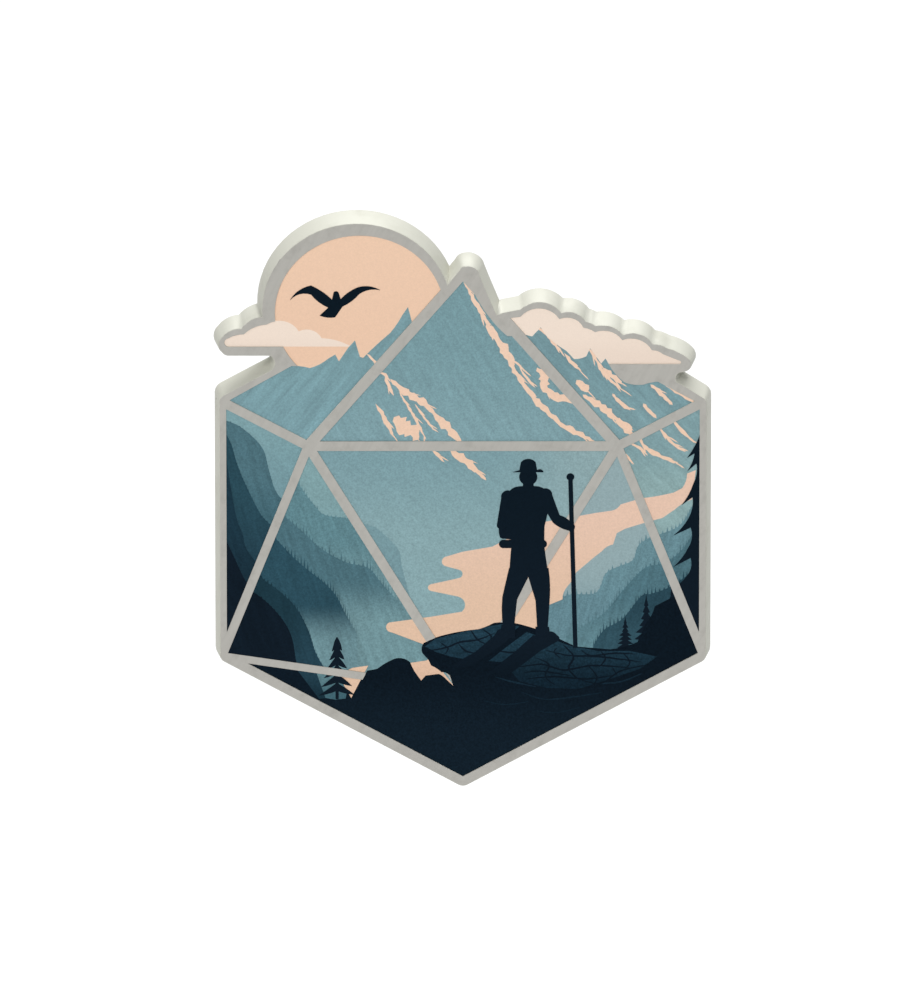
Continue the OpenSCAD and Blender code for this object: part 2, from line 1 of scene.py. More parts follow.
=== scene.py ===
# %% [markdown]
# # An enamel pin, dressed for a picture
#
# The real thing is a thick die-cast badge, plated in satin nickel. Shallow cells in its face hold
# enamel, and the landscape's small details are printed over the enamel in ink. Two posts and two
# brass butterfly clutches hold it on cloth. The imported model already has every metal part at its
# real size, so this script adds what a drawing leaves out: eased edges, ink, grain, wear and light.

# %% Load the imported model
import math
import random

import bmesh
import bpy
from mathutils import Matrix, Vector


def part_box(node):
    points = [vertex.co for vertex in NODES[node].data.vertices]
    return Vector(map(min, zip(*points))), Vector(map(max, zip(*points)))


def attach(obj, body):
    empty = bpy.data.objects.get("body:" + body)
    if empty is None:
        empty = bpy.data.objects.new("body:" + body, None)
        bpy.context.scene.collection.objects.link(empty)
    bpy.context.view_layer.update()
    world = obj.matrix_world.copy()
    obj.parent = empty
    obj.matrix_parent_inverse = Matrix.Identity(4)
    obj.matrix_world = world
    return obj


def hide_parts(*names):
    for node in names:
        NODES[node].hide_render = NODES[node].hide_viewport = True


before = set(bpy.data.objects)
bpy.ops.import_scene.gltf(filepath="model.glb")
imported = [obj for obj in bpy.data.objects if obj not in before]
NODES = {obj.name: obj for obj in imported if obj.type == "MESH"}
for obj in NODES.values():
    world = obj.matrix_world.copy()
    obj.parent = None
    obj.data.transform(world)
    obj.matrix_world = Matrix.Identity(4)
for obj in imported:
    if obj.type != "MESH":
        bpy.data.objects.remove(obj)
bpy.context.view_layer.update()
MM = 0.001

# %% [markdown]
# ## Depths that everything is measured from
#
# The pin faces -Y, so a smaller y is nearer the viewer. The rim and ridges stand a little proud of
# the enamel, and the figures' ink stands between the two. Reading the depths from the model keeps
# every printed detail on its cell, however thick the casting is.

# %% Depths of the face
RIM_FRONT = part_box("base")[0].y
INK_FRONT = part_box("hiker")[0].y
ENAMEL_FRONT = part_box("sun")[0].y
INK_STEP = 0.007 * MM
STROKE_STEP = 0.0005 * MM
STROKE_STEPS = 12
print("rim", RIM_FRONT, "ink", INK_FRONT, "enamel", ENAMEL_FRONT)

# %% [markdown]
# ## Camera
#
# A long lens from far away keeps the hexagon's sides parallel, as in a catalogue picture. The
# camera looks 24 degrees down, so the top wall of the casting shows and the bottom one doesn't.

# %% Camera
VIEW_DROP = math.radians(24)
VIEW_DISTANCE = 2.4
VIEW_HEIGHT = 81.2 * MM
SENSOR = 36

camera_data = bpy.data.cameras.new("camera")
camera_data.sensor_width = SENSOR
camera_data.lens = SENSOR * VIEW_DISTANCE / VIEW_HEIGHT
camera_data.clip_start = 0.05
camera_data.clip_end = 20
camera = bpy.data.objects.new("camera", camera_data)
bpy.context.scene.collection.objects.link(camera)
base_low, base_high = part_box("base")
aim = Vector(((base_low.x + base_high.x) / 2 - 0.04 * MM, RIM_FRONT,
              (base_low.z + base_high.z) / 2 + 0.54 * MM))
camera.location = aim + VIEW_DISTANCE * Vector((0, -math.cos(VIEW_DROP), math.sin(VIEW_DROP)))
camera.rotation_euler = (math.radians(90) - VIEW_DROP, 0, 0)
bpy.context.scene.camera = camera
print("lens", round(camera_data.lens), "mm")

# %% [markdown]
# ## Floor and light
#
# Metal shows whatever surrounds it, so the surroundings are broad and pale: a white floor well below
# the pin, a bright even sky and two large soft panels. The panel overhead makes the top wall of the
# casting glow, and the one in front lights the colours evenly.

# %% Floor
FLOOR_DROP = 0.25
FLOOR_SIZE = 30


def plain_material(name, colour, roughness):
    made = bpy.data.materials.new(name)
    made.use_nodes = True
    shader = made.node_tree.nodes["Principled BSDF"]
    shader.inputs["Base Color"].default_value = (*colour, 1)
    shader.inputs["Roughness"].default_value = roughness
    return made


def add_object(name, mesh):
    made = bpy.data.objects.new(name, mesh)
    bpy.context.scene.collection.objects.link(made)
    return made


floor_mesh = bpy.data.meshes.new("floor")
bm = bmesh.new()
bmesh.ops.create_grid(bm, x_segments=1, y_segments=1, size=FLOOR_SIZE / 2)
bmesh.ops.translate(bm, verts=bm.verts, vec=(0, 0, -FLOOR_DROP))
bm.to_mesh(floor_mesh)
bm.free()
floor = add_object("floor", floor_mesh)
floor_mesh.materials.append(plain_material("floor_paper", (0.92, 0.92, 0.92), 0.9))

# %% Lights
bpy.context.scene.view_settings.view_transform = "Standard"
world = bpy.data.worlds.new("studio")
world.use_nodes = True
world.node_tree.nodes["Background"].inputs["Color"].default_value = (0.97, 0.985, 1, 1)
world.node_tree.nodes["Background"].inputs["Strength"].default_value = 0.5
bpy.context.scene.world = world


def soft_panel(name, place, size, power, colour=(1, 1, 1)):
    data = bpy.data.lights.new(name, "AREA")
    data.size = size
    data.energy = power
    data.color = colour
    panel = bpy.data.objects.new(name, data)
    bpy.context.scene.collection.objects.link(panel)
    panel.location = place
    panel.rotation_euler = (-Vector(place)).to_track_quat("-Z", "Y").to_euler()
    return panel


soft_panel("overhead_panel", (0.1, 0.4, 1.0), 0.9, 13)
soft_panel("front_panel", (-0.35, -0.8, 0.75), 0.6, 6, (1, 0.98, 0.96))

# %% [markdown]
# ## Surface effects shared by several materials
#
# Each effect is one node group, so that every material that uses it agrees with the others. They
# all read object coordinates, which stay put because no finished piece is moved or scaled.


# %% A helper that makes a node group
def new_group(name, inputs, outputs):
    group = bpy.data.node_groups.new(name, "ShaderNodeTree")
    for label, start in inputs:
        socket = group.interface.new_socket(label, in_out="INPUT", socket_type="NodeSocketFloat")
        socket.default_value = start
    for label in outputs:
        group.interface.new_socket(label, in_out="OUTPUT", socket_type="NodeSocketFloat")
    return group, group.nodes.new("NodeGroupInput"), group.nodes.new("NodeGroupOutput")


def math_node(tree, operation, a, b=None):
    node = tree.nodes.new("ShaderNodeMath")
    node.operation = operation
    for socket, value in zip(node.inputs, (a, b)):
        if isinstance(value, bpy.types.NodeSocket):
            tree.links.new(value, socket)
        elif value is not None:
            socket.default_value = value
    return node.outputs[0]


def ramp_node(tree, value, low, high, to_low=0.0, to_high=1.0):
    node = tree.nodes.new("ShaderNodeMapRange")
    node.interpolation_type = "SMOOTHSTEP"
    for socket, given in zip(node.inputs, (value, low, high, to_low, to_high)):
        if isinstance(given, bpy.types.NodeSocket):
            tree.links.new(given, socket)
        else:
            socket.default_value = given
    return node.outputs[0]


def noise_node(tree, scale, detail=2.0, roughness=0.5, vector=None):
    node = tree.nodes.new("ShaderNodeTexNoise")
    node.inputs["Detail"].default_value = detail
    node.inputs["Roughness"].default_value = roughness
    if isinstance(scale, bpy.types.NodeSocket):
        tree.links.new(scale, node.inputs["Scale"])
    else:
        node.inputs["Scale"].default_value = scale
    if vector is None:
        vector = tree.nodes.new("ShaderNodeTexCoord").outputs["Object"]
    tree.links.new(vector, node.inputs["Vector"])
    return node.outputs["Fac"]


# %% [markdown]
# **Stipple** is the fine speckle of printed enamel: two sizes of noise, added together, that
# lighten and darken the colour a little. **Brushwork** is the same noise stretched along one
# direction, as the slopes of the mountains are shaded.

# %% Stipple and brushwork
stipple, given, out = new_group("stipple", [("Scale", 8000), ("Amount", 0.08)], ["Shade"])
fine = noise_node(stipple, given.outputs["Scale"], 2, 0.6)
broad = noise_node(stipple, math_node(stipple, "MULTIPLY", given.outputs["Scale"], 0.33), 1, 0.5)
both = math_node(stipple, "ADD", math_node(stipple, "SUBTRACT", fine, 0.5),
                 math_node(stipple, "MULTIPLY", math_node(stipple, "SUBTRACT", broad, 0.5), 0.2))
spread = math_node(stipple, "MULTIPLY", both, math_node(stipple, "MULTIPLY", given.outputs["Amount"], 4))
stipple.links.new(math_node(stipple, "ADD", spread, 1), out.inputs["Shade"])

brushwork, given, out = new_group("brushwork", [("Angle", 0), ("Amount", 0.05)], ["Shade"])
mapping = brushwork.nodes.new("ShaderNodeMapping")
mapping.inputs["Scale"].default_value = (250, 250, 2600)
mapping.vector_type = "POINT"
turned = brushwork.nodes.new("ShaderNodeVectorRotate")
turned.rotation_type = "Y_AXIS"
brushwork.links.new(brushwork.nodes.new("ShaderNodeTexCoord").outputs["Object"], turned.inputs["Vector"])
brushwork.links.new(given.outputs["Angle"], turned.inputs["Angle"])
brushwork.links.new(turned.outputs[0], mapping.inputs["Vector"])
strokes = noise_node(brushwork, 1.0, 3, 0.55, mapping.outputs[0])
sway = math_node(brushwork, "MULTIPLY", math_node(brushwork, "SUBTRACT", strokes, 0.5),
                 math_node(brushwork, "MULTIPLY", given.outputs["Amount"], 4))
brushwork.links.new(math_node(brushwork, "ADD", sway, 1), out.inputs["Shade"])

# %% [markdown]
# ** Casting pits** are the pinholes that zinc leaves in a plated wall: small round hollows, each
# inside its own cell of a Voronoi pattern, and only in a few of the cells. A material that uses them
# darkens its colour inside each pit, as painted shade in the hollow. **Tarnish** is a soft blotchy
# mask, and **fine waviness** is the height of a surface that was plated or cured.

# %% Pits, tarnish and waviness
casting_pits, given, out = new_group("casting_pits", [("Scale", 1500), ("Share", 0.06)], ["Mask"])
cells = casting_pits.nodes.new("ShaderNodeTexVoronoi")
casting_pits.links.new(given.outputs["Scale"], cells.inputs["Scale"])
pit_place = casting_pits.nodes.new("ShaderNodeTexCoord").outputs["Object"]
casting_pits.links.new(pit_place, cells.inputs["Vector"])
cell_lot = casting_pits.nodes.new("ShaderNodeSeparateColor")
casting_pits.links.new(cells.outputs["Color"], cell_lot.inputs[0])
chosen = math_node(casting_pits, "LESS_THAN", cell_lot.outputs[0], given.outputs["Share"])
# Inside a pit the mask is 1. The metal uses it to sink the pit with a bump and to darken it with painted
# shade.
hollow = ramp_node(casting_pits, cells.outputs["Distance"], 0.06, 0.2, 1, 0)
casting_pits.links.new(math_node(casting_pits, "MULTIPLY", hollow, chosen), out.inputs["Mask"])

tarnish, given, out = new_group("tarnish", [("Scale", 300), ("Cover", 0.5)], ["Mask"])
blotch = noise_node(tarnish, given.outputs["Scale"], 5, 0.62)
edge = math_node(tarnish, "SUBTRACT", 1, given.outputs["Cover"])
tarnish.links.new(ramp_node(tarnish, blotch, math_node(tarnish, "SUBTRACT", edge, 0.15),
                            math_node(tarnish, "ADD", edge, 0.15)), out.inputs["Mask"])

waviness, given, out = new_group("waviness", [("Scale", 1200)], ["Height"])
swell = noise_node(waviness, given.outputs["Scale"], 3, 0.5)
waviness.links.new(swell, out.inputs["Height"])
print("groups", [g.name for g in bpy.data.node_groups])


# %% [markdown]
# ## Colours
#
# A screen shows colours in sRGB, and a shader works in linear light, so each colour is written as
# it looks and turned into the shader's numbers once, here.


# %% Colour helper and the palette
def looks_like(red, green, blue):
    def linear(v):
        v = v / 255
        return v / 12.92 if v <= 0.04045 else ((v + 0.055) / 1.055) ** 2.4
    return (linear(red), linear(green), linear(blue), 1)


PEACH = (232, 196, 169)
PEACH_HIGH = (234, 199, 172)
SNOW = (233, 199, 174)
WATER = (222, 189, 163)
CLOUD = (237, 220, 205)
TEAL_HIGH = (117, 151, 158)
TEAL_LOW = (124, 157, 164)
MIST = (133, 164, 169)
MIST_LOW = (110, 141, 149)
STEEL_BLUE = (77, 111, 121)
NAVY = (14, 26, 37)


# %% [markdown]
# ## Enamel and ink
#
# Both are a coloured film with a satin skin. The colour slides between two shades up the face, as
# mist does in the printed landscape, and the stipple and the brushwork break it up. The skin is
# faintly wavy, so that a reflection across it wobbles.


# %% Enamel and ink material
def add_group(tree, group, **values):
    node = tree.nodes.new("ShaderNodeGroup")
    node.node_tree = group
    for label, value in values.items():
        node.inputs[label].default_value = value
    return node


def tinted(tree, colour, shade):
    node = tree.nodes.new("ShaderNodeMix")
    node.data_type = "RGBA"
    node.blend_type = "MULTIPLY"
    node.inputs["Factor"].default_value = 1
    tree.links.new(colour, node.inputs[6])
    tree.links.new(shade, node.inputs[7])
    return node.outputs[2]


def mixed(tree, factor, a, b):
    node = tree.nodes.new("ShaderNodeMix")
    node.data_type = "RGBA"
    tree.links.new(factor, node.inputs["Factor"])
    for socket, value in ((node.inputs[6], a), (node.inputs[7], b)):
        if isinstance(value, bpy.types.NodeSocket):
            tree.links.new(value, socket)
        else:
            socket.default_value = value
    return node.outputs[2]


STIPPLE_SCALE, STIPPLE_GAIN = 7200, 2.8


def film(name, low, high, from_z, to_z, speckle=0.06, stroke=None, stroke_depth=0.05,
         across=None, gloss=0.12):
    """A printed or filled colour that runs from low at from_z to high at to_z, both in mm."""
    made = bpy.data.materials.new(name)
    made.use_nodes = True
    tree = made.node_tree
    shader = tree.nodes["Principled BSDF"]
    place = tree.nodes.new("ShaderNodeSeparateXYZ")
    tree.links.new(tree.nodes.new("ShaderNodeTexCoord").outputs["Object"], place.inputs[0])
    rise = ramp_node(tree, place.outputs["Z"], from_z * MM, to_z * MM)
    colour = mixed(tree, rise, looks_like(*low), looks_like(*high))
    if across:
        side_colour, from_x, to_x = across
        slide = ramp_node(tree, place.outputs["X"], from_x * MM, to_x * MM)
        colour = mixed(tree, slide, colour, looks_like(*side_colour))
    dots = add_group(tree, stipple, Scale=STIPPLE_SCALE, Amount=speckle * STIPPLE_GAIN)
    colour = tinted(tree, colour, dots.outputs[0])
    if stroke is not None:
        brushed = add_group(tree, brushwork, Angle=math.radians(stroke), Amount=stroke_depth)
        colour = tinted(tree, colour, brushed.outputs[0])
    tree.links.new(colour, shader.inputs["Base Color"])
    rough = noise_node(tree, 900.0, 3)
    tree.links.new(ramp_node(tree, rough, 0.3, 0.7, 0.36, 0.48), shader.inputs["Roughness"])
    shader.inputs["Specular IOR Level"].default_value = gloss
    bump = tree.nodes.new("ShaderNodeBump")
    bump.inputs["Strength"].default_value = 0.25
    bump.inputs["Distance"].default_value = 0.02 * MM
    tree.links.new(add_group(tree, waviness, Scale=1400).outputs[0], bump.inputs["Height"])
    tree.links.new(bump.outputs[0], shader.inputs["Normal"])
    return made


def dress(node, material):
    """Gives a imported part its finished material."""
    slots = NODES[node].material_slots
    for slot in slots:
        slot.material = material
    if not slots:
        NODES[node].data.materials.append(material)


SLOPE_LEFT, SLOPE_RIGHT = 52, -48
DARK_GLOSS = 0.02
dress("sun", film("sun_enamel", PEACH, PEACH_HIGH, 14, 26, 0.015))
cloud = film("cloud_enamel", (232, 214, 199), CLOUD, 15, 17.5, 0.008)
dress("left_cloud", cloud)
dress("right_cloud", cloud)
dress("left_ridge_cell", film("left_ridge_enamel", (120, 155, 163), TEAL_HIGH, 8, 18, 0.05,
                              SLOPE_LEFT, 0.16))
dress("peak_cell", film("peak_enamel", TEAL_LOW, TEAL_HIGH, 8, 16, 0.06, -62, 0.1))
dress("right_ridge_cell", film("right_ridge_enamel", (122, 154, 160), (115, 148, 155), 8, 15, 0.05,
                               SLOPE_RIGHT, 0.14))
dress("left_slope_cell", film("left_slope_enamel", (112, 147, 155), (122, 157, 163), 2, 10, 0.06,
                              -55, 0.05))
dress("left_valley_cell", film("left_valley_enamel", (112, 145, 151), (125, 159, 163), -8, 6, 0.06,
                               -35, 0.05))
dress("centre_valley_cell", film("centre_valley_enamel", MIST, (121, 154, 161), -2, 7, 0.06, -42, 0.05,
                                 across=((138, 165, 169), 2, 11)))
dress("right_valley_cell", film("right_valley_enamel", MIST_LOW, (143, 166, 170), -11, -3, 0.04))
dress("right_slope_cell", film("right_slope_enamel", (138, 167, 168), (124, 155, 160), 3, 8, 0.05,
                               SLOPE_RIGHT, 0.12))
dress("lower_left_cell", film("lower_left_enamel", (16, 32, 44), (11, 24, 35), -22, -14, 0.1,
                              gloss=DARK_GLOSS))
water = film("water_enamel", WATER, (226, 193, 172), -8, 2, 0.025)
dress("river_cells", water)
dress("ledge_gap_cells", film("ledge_gap_enamel", (214, 179, 154), (222, 187, 161), -14, -11.5, 0.03))
dress("rock_ledge", film("rock_enamel", (15, 29, 40), (9, 21, 31), -19, -12, 0.12, gloss=DARK_GLOSS))
ink = film("figure_ink", NAVY, (10, 23, 33), -10, 5, 0.05, gloss=DARK_GLOSS)
for figure in ("hiker", "bird", "small_fir", "fir_branches"):
    dress(figure, ink)
print("films", len([m for m in bpy.data.materials if "enamel" in m.name or "ink" in m.name]))


# %% [markdown]
# ## Metals
#
# The casting is one piece of metal with three finishes. The walls are plated to a pale, milky satin
# that hardly mirrors, with a few casting pits, whose dark insides are painted shade. The flat face of
# the rim and ridges was ground level after the enamel cured, which leaves fine scratches and a duller
# grey. The back was blasted.


# %% Metal material
def metal(name, colour, dull_colour, roughness, dull_roughness, blotch=350, cover=0.4, pits=0.0,
          grind=None, wave=1000, wave_depth=0.01, shine=1):
    made = bpy.data.materials.new(name)
    made.use_nodes = True
    tree = made.node_tree
    shader = tree.nodes["Principled BSDF"]
    shader.inputs["Metallic"].default_value = shine
    dull = add_group(tree, tarnish, Scale=blotch, Cover=cover).outputs[0]
    shown = mixed(tree, dull, looks_like(*colour), looks_like(*dull_colour))
    rough = ramp_node(tree, dull, 0, 1, roughness, dull_roughness)
    height = add_group(tree, waviness, Scale=wave).outputs[0]
    if grind is not None:
        lines = add_group(tree, brushwork, Angle=math.radians(grind), Amount=0.06)
        shown = tinted(tree, shown, lines.outputs[0])
        rough = math_node(tree, "MULTIPLY", rough, lines.outputs[0])
    if pits:
        pit_shade_and_depth = add_group(tree, casting_pits, Scale=1300, Share=pits).outputs[0]
        # Painted shade: the colour inside each pit is darkened to a brown-grey in place of the shade in the
        # hollow. The bump below sinks the pit itself.
        shown = mixed(tree, pit_shade_and_depth, shown, looks_like(96, 88, 74))
        height = math_node(tree, "SUBTRACT", height, math_node(tree, "MULTIPLY", pit_shade_and_depth, 3))
    tree.links.new(shown, shader.inputs["Base Color"])
    tree.links.new(rough, shader.inputs["Roughness"])
    bump = tree.nodes.new("ShaderNodeBump")
    bump.inputs["Strength"].default_value = 0.5
    bump.inputs["Distance"].default_value = wave_depth * MM
    tree.links.new(height, bump.inputs["Height"])
    tree.links.new(bump.outputs[0], shader.inputs["Normal"])
    return made


plated_wall = metal("plated_wall", (193, 193, 182), (186, 186, 174), 0.6, 0.7, pits=0.05, shine=0.12)
satin_face = metal("satin_face", (184, 182, 176), (178, 176, 170), 0.5, 0.56, blotch=900, grind=63)
blasted_back = metal("blasted_back", (178, 177, 170), (172, 171, 164), 0.5, 0.58, blotch=260, wave=5200,
                     wave_depth=0.03)
post_steel = metal("post_steel", (214, 213, 206), (190, 188, 182), 0.2, 0.34, blotch=900)
clutch_brass = metal("clutch_brass", (222, 196, 138), (196, 166, 108), 0.26, 0.44, blotch=420, cover=0.42)
spring_brass = metal("spring_brass", (228, 204, 150), (200, 172, 116), 0.2, 0.38, blotch=500, cover=0.36)

# %% [markdown]
# ## The casting
#
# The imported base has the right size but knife-sharp edges, and light can't catch on a sharp edge.
# A copy is cleaned of its triangle seams and its front edges are bevelled by a few hundredths of a
# millimetre, more on the outside, where tumbling reaches, than along the cells. The flat front and
# its bevels take the ground satin, the flat back is blasted, and the rest is plated wall.


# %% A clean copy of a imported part
def clean_copy(node):
    made = bmesh.new()
    made.from_mesh(NODES[node].data)
    bmesh.ops.remove_doubles(made, verts=made.verts, dist=1e-7)
    bmesh.ops.dissolve_limit(made, angle_limit=math.radians(0.3), use_dissolve_boundaries=False,
                             verts=made.verts, edges=made.edges, delimit={"NORMAL"})
    return made


def finish_mesh(bm, name, smooth_under=35):
    mesh = bpy.data.meshes.new(name)
    bm.normal_update()
    bm.to_mesh(mesh)
    bm.free()
    mesh.shade_smooth()
    mesh.set_sharp_from_angle(angle=math.radians(smooth_under))
    return add_object(name, mesh)


def keep_flats_flat(piece):
    """Leaves the flat faces with flat shading beside their rounded edges."""
    modifier = piece.modifiers.new("flats", "WEIGHTED_NORMAL")
    modifier.keep_sharp = True
    modifier.mode = "FACE_AREA"


# %% Build the casting
OUTER_EASE, INNER_EASE = 0.05 * MM, 0.018 * MM
WALL_DEPTH = 1 * MM


def at_rim(point):
    return abs(point.y - RIM_FRONT) < 0.001 * MM


bm = clean_copy("base")
rim_edges = [e for e in bm.edges if e.is_manifold and e.calc_face_angle() > math.radians(50)
             and all(at_rim(v.co) for v in e.verts)]
outer = [e for e in rim_edges
         if any(v.co.y > RIM_FRONT + WALL_DEPTH for face in e.link_faces for v in face.verts)]
inner = [e for e in rim_edges if e not in set(outer)]
print("rim edges to ease: outer", len(outer), "inner", len(inner))
for edges, ease in ((outer, OUTER_EASE), (inner, INNER_EASE)):
    bmesh.ops.bevel(bm, geom=[e for e in edges if e.is_valid], affect="EDGES", offset=ease,
                    offset_type="OFFSET", segments=2, profile=0.5, material=-1, clamp_overlap=False)
wall_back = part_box("base")[1].y
for face in bm.faces:
    middle = face.calc_center_median()
    if face.normal.y > 0.995 and wall_back - middle.y < 0.002 * MM:
        face.material_index = 2
    elif face.normal.y < -0.3 and middle.y < RIM_FRONT + INNER_EASE:
        face.material_index = 1
    else:
        face.material_index = 0
casting = finish_mesh(bm, "cast_badge", 40)
for finish in (plated_wall, satin_face, blasted_back):
    casting.data.materials.append(finish)
keep_flats_flat(casting)
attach(casting, "badge")
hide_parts("base")
print("casting faces", len(casting.data.polygons))

# %% [markdown]
# ## Posts and clutches
#
# Each post is soldered into the back, and the solder climbs it in a small shiny fillet. The
# clutches are stamped from thin brass, so every edge of theirs is eased, like the casting's.

# %% Posts and clutches
STAMPED_EASE = 0.05 * MM
POST_R = 0.6 * MM
SOLDER_R, SOLDER_H = 1.35 * MM, 0.4 * MM


def eased(node, name, body, material):
    """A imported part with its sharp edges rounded, in its place on a body."""
    bm = clean_copy(node)
    sharp = [e for e in bm.edges if e.is_manifold and e.calc_face_angle() > math.radians(40)]
    bmesh.ops.bevel(bm, geom=sharp, affect="EDGES", offset=STAMPED_EASE, offset_type="OFFSET", segments=2,
                    profile=0.5, material=-1, clamp_overlap=True)
    piece = finish_mesh(bm, name, 35)
    piece.data.materials.append(material)
    keep_flats_flat(piece)
    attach(piece, body)
    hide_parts(node)
    return piece


def solder_fillet(post, name):
    low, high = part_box(post)
    middle = (low + high) / 2
    bm = bmesh.new()
    steps = 8
    reach = SOLDER_R - POST_R
    profile = [bm.verts.new((middle.x + SOLDER_R - reach * math.sin(math.pi / 2 * i / steps),
                             wall_back + SOLDER_H * (1 - math.cos(math.pi / 2 * i / steps)), middle.z))
               for i in range(steps + 1)]
    edges = [bm.edges.new(pair) for pair in zip(profile, profile[1:])]
    bmesh.ops.spin(bm, geom=profile + edges, cent=middle, axis=(0, 1, 0), angle=math.tau, steps=48,
                   use_merge=True)
    bmesh.ops.recalc_face_normals(bm, faces=bm.faces)
    piece = finish_mesh(bm, name)
    piece.data.materials.append(post_steel)
    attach(piece, "badge")
    return piece


for side in ("left", "right"):
    dress(f"{side}_post", post_steel)
    solder_fillet(f"{side}_post", f"{side}_solder")
    eased(f"{side}_clutch_disc", f"{side}_stamped_disc", f"{side}_clutch", clutch_brass)
    eased(f"{side}_clutch_cap", f"{side}_stamped_cap", f"{side}_clutch", clutch_brass)
    eased(f"{side}_clutch_outer_wing", f"{side}_sprung_outer_wing", f"{side}_outer_wing", spring_brass)
    eased(f"{side}_clutch_inner_wing", f"{side}_sprung_inner_wing", f"{side}_inner_wing", spring_brass)

# %% [markdown]
# ## Ink over the enamel
#
# The snow, the ridges of the hills and the cracks in the rock are too fine for metal walls, so on
# the real pin they are printed over the cured enamel. Each is a film here: an outline is drawn,
# given a thickness with an extrude, and trimmed to its own cell with a Boolean, so that no ink ever
# crosses a metal ridge. A nearer hill lies one film further out than the hill behind it.


# %% Draw, extrude and trim a film
def film_plate(outlines, layer):
    """Flat shapes drawn as (x, z) in mm, raised to a layer above the enamel."""
    plate = bmesh.new()
    for order, outline in enumerate(outlines):
        hair = order % STROKE_STEPS * STROKE_STEP
        corners = [plate.verts.new((x * MM, ENAMEL_FRONT + INK_STEP + hair, z * MM)) for x, z in outline]
        sheet = plate.faces.new(corners)
        plate.normal_update()
        cut = bmesh.ops.triangulate(plate, faces=[sheet], ngon_method="EAR_CLIP")["faces"]
        raised = bmesh.ops.extrude_face_region(plate, geom=cut, use_keep_orig=True)["geom"]
        moved = [part for part in raised if isinstance(part, bmesh.types.BMVert)]
        bmesh.ops.translate(plate, verts=moved, vec=(0, -(layer + 1) * INK_STEP - 2 * hair, 0))
    bmesh.ops.recalc_face_normals(plate, faces=plate.faces)
    return plate


def cell_column(cell):
    """The room over a cell: a copy of it whose front is drawn out past the rim."""
    column = clean_copy(cell)
    middle = (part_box(cell)[0].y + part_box(cell)[1].y) / 2
    for vertex in column.verts:
        if vertex.co.y < middle:
            vertex.co.y = RIM_FRONT - 0.1 * MM
    return column


def printed(name, cell, layer, outlines, material):
    plate_mesh = bpy.data.meshes.new(name)
    plate = film_plate(outlines, layer)
    plate.to_mesh(plate_mesh)
    plate.free()
    column_mesh = bpy.data.meshes.new("column")
    column = cell_column(cell)
    column.to_mesh(column_mesh)
    column.free()
    piece = add_object(name, plate_mesh)
    room = add_object("column", column_mesh)
    trim = piece.modifiers.new("trim", "BOOLEAN")
    trim.operation = "INTERSECT"
    trim.solver = "EXACT"
    trim.object = room
    trim.use_self = True
    shown = piece.evaluated_get(bpy.context.evaluated_depsgraph_get())
    trimmed = bpy.data.meshes.new_from_object(shown)
    piece.modifiers.clear()
    piece.data = trimmed
    bpy.data.objects.remove(room)
    trimmed.materials.clear()
    trimmed.materials.append(material)
    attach(piece, "badge")
    return piece



# %% [markdown]
# ### Drawing with a loose hand
#
# A printed landscape has no ruled lines. `smooth_line` runs a curve through a few points,
# `tree_line` stands small firs along it, and `streak` is a tapering stroke with torn edges. Their
# chance comes from one seeded source, so the picture is the same every time.


# %% Lines, firs and streaks
lot = random.Random(7)
STROKE_POINT_GAP = 0.28
BLUNTNESS = 0.55


def smooth_line(points, step=0.3):
    """Points about step mm apart along a curve through the given ones."""
    ends = [Vector(p) for p in (points[0], *points, points[-1])]
    line = []
    for before, start, end, after in zip(ends, ends[1:], ends[2:], ends[3:]):
        count = max(1, round((end - start).length / step))
        for i in range(count):
            t = i / count
            line.append(start + 0.5 * t * (end - before + t * (2 * before - 5 * start + 4 * end - after
                        + t * (3 * start - before - 3 * end + after))))
    return line + [ends[-1]]


def tree_line(points, tall, every=0.36):
    """A hill's edge, read left to right, with small firs standing on it."""
    line = smooth_line(points, every / 2)
    edge = []
    for here, there in zip(line[::2], line[1::2]):
        along = there - here
        tip = here + along * 0.45 + Vector((0, tall * lot.uniform(0.1, 1)))
        edge += [here, tip, here + along * 0.9]
    return edge + [line[-1]]


def streak(points, width, torn=0.35):
    """A stroke's outline, widest in its middle, with edges torn by up to that share of its width."""
    line = smooth_line(points, STROKE_POINT_GAP)
    last = len(line) - 1
    near, far = [], []
    for i in range(1, last):
        along = (line[i + 1] - line[i - 1]).normalized()
        side = Vector((-along.y, along.x)) * width / 2 * math.sin(math.pi * i / last) ** BLUNTNESS
        near.append(line[i] + side * lot.uniform(1 - torn, 1 + torn))
        far.append(line[i] - side * lot.uniform(1 - torn, 1 + torn))
    return [line[0], *near, line[last], *reversed(far)]


def fir(x, foot, height, width, tiers=6):
    """A fir's outline: drooping boughs that get shorter toward the tip."""
    right = []
    for i in range(tiers):
        low = foot + height * (0.1 + 0.86 * i / tiers)
        rise = height * 0.86 / tiers
        reach = width / 2 * (1 - i / tiers) * lot.uniform(0.8, 1.15)
        right += [(reach, low - rise * 0.35), (reach * 0.32, low + rise * 0.55)]
    trunk = width * 0.035
    side = [(trunk, foot), (trunk, foot + height * 0.06), *right]
    return [(x + across, z) for across, z in side] + [(x, foot + height)] \
        + [(x - across * 0.94, z) for across, z in reversed(side)]


# %% [markdown]
# ### The hills
#
# Each valley is built up like paper scenery, from the pale far slope to the dark near one. A hill
# is given by its skyline and by the corner of the cell that it fills behind it. The far hills fade
# into mist at their feet.

# %% Hills on the left
FAR_LEFT, FOOT_LEFT = -21, -13


def left_hill(name, cell, layer, skyline, colour, foot_colour, foot_z, clear_z, tall, right=None):
    corner = right if right is not None else skyline[-1][0]
    outline = tree_line(skyline, tall) + [(corner, FOOT_LEFT), (FAR_LEFT, FOOT_LEFT),
                                          (FAR_LEFT, skyline[0][1])]
    material = film(name + "_ink", foot_colour, colour, foot_z, clear_z, 0.07, -72, 0.16, gloss=DARK_GLOSS)
    return printed(name, cell, layer, [outline], material)


